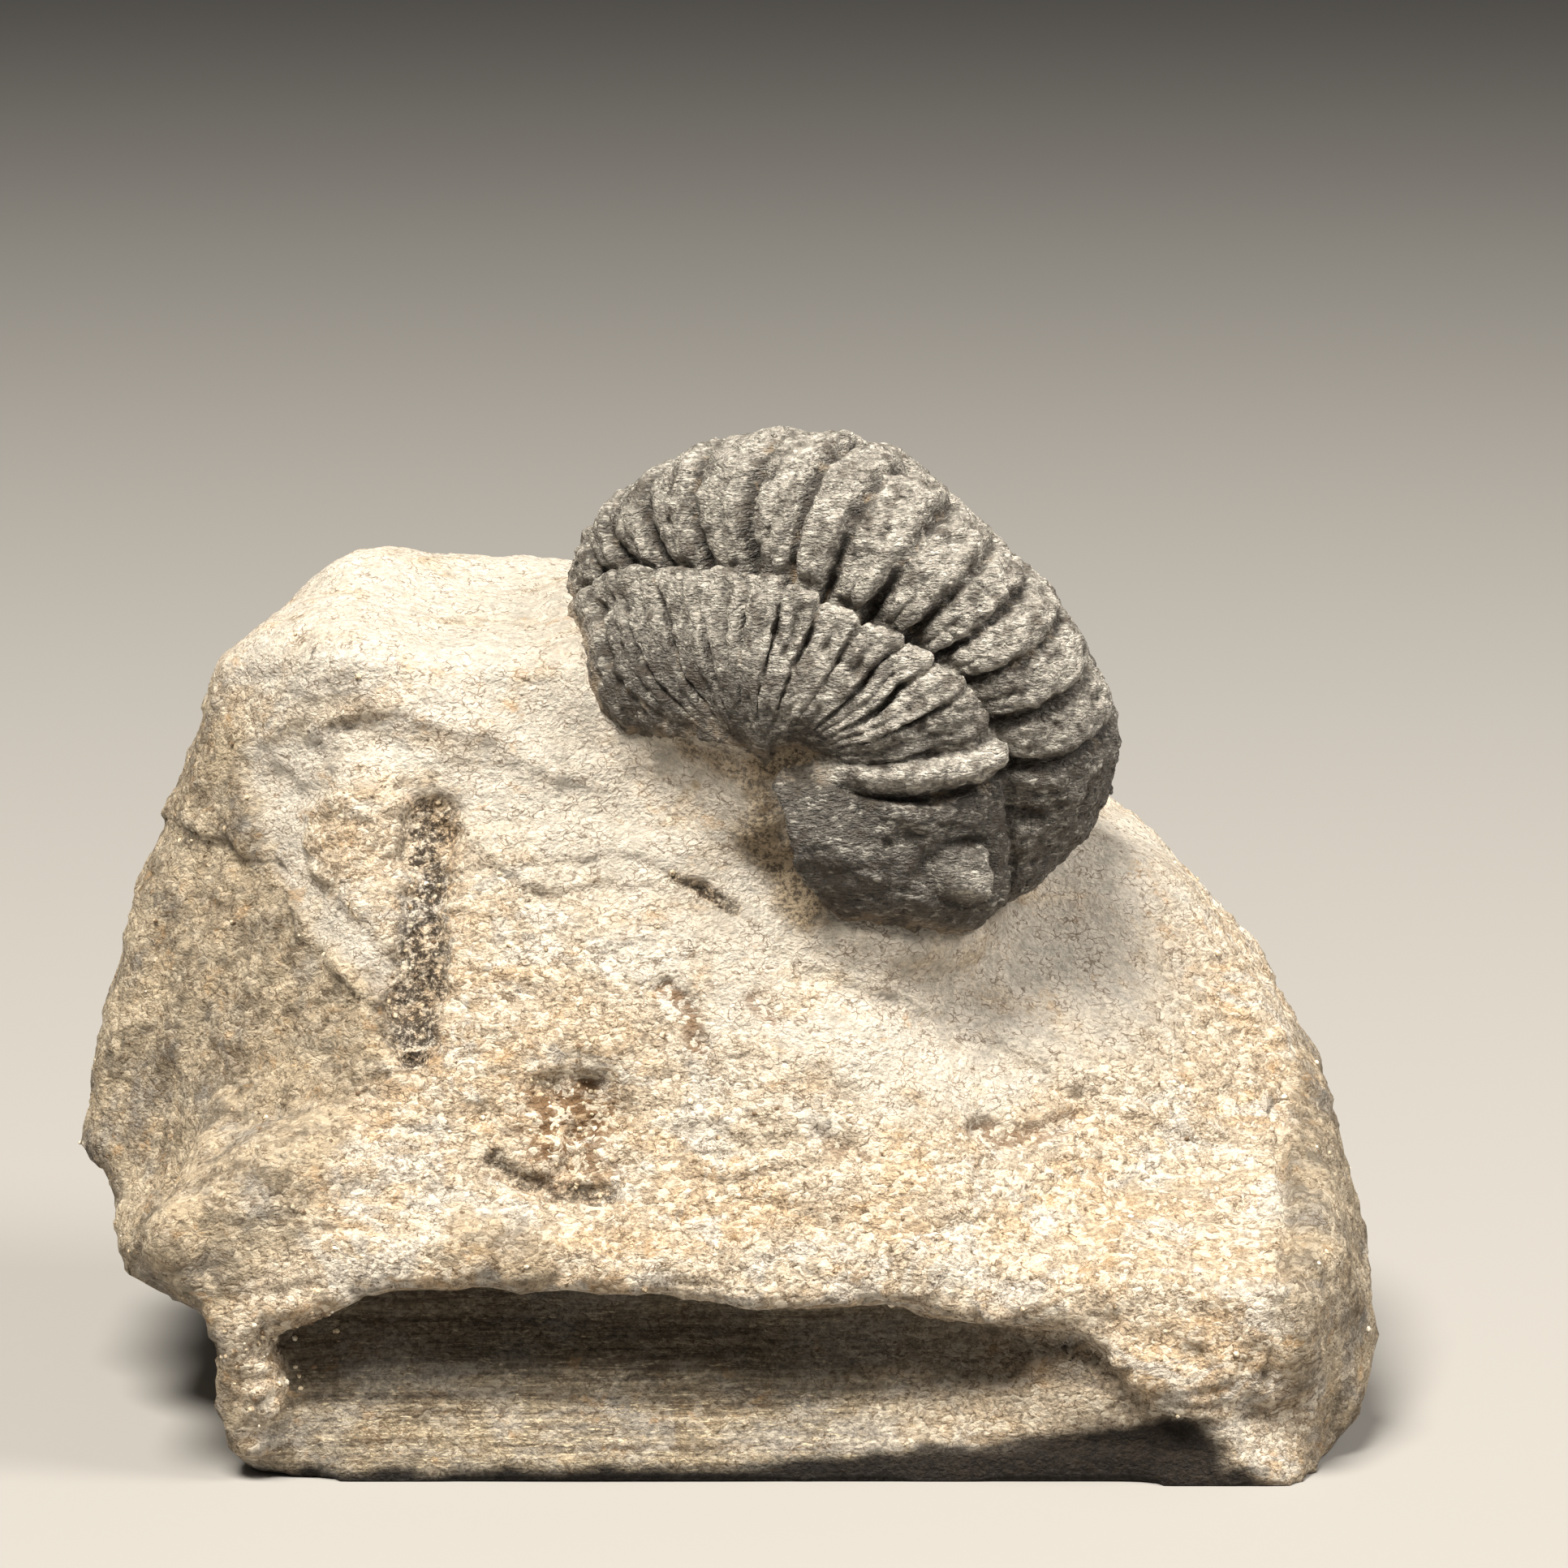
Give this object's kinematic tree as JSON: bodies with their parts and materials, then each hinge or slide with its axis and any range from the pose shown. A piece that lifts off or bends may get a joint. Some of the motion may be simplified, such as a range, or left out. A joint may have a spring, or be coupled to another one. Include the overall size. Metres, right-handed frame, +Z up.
{
  "type": "trilobite fossil",
  "caption": "Partly enrolled trilobite with ringed thorax, eyes and ribbed tail, resting on a pale limestone block with a flat base.",
  "frame": {"origin": "centre of the overall bounding box, at the level of the block's flat base", "axes": "+X along the block towards the trilobite's head, +Z up, -Y towards the side from which the trilobite's right flank is seen"},
  "size_m": [0.0656, 0.0412, 0.0502],
  "materials": {
    "limestone": "rough broken surface, cream and tan with rusty specks",
    "dark_calcite": "dark grey mineralised shell with a faint satin sheen"
  },
  "bodies": {
    "root": {"limestone_matrix": "limestone", "trilobite": "dark_calcite"}
  },
  "joints": []
}
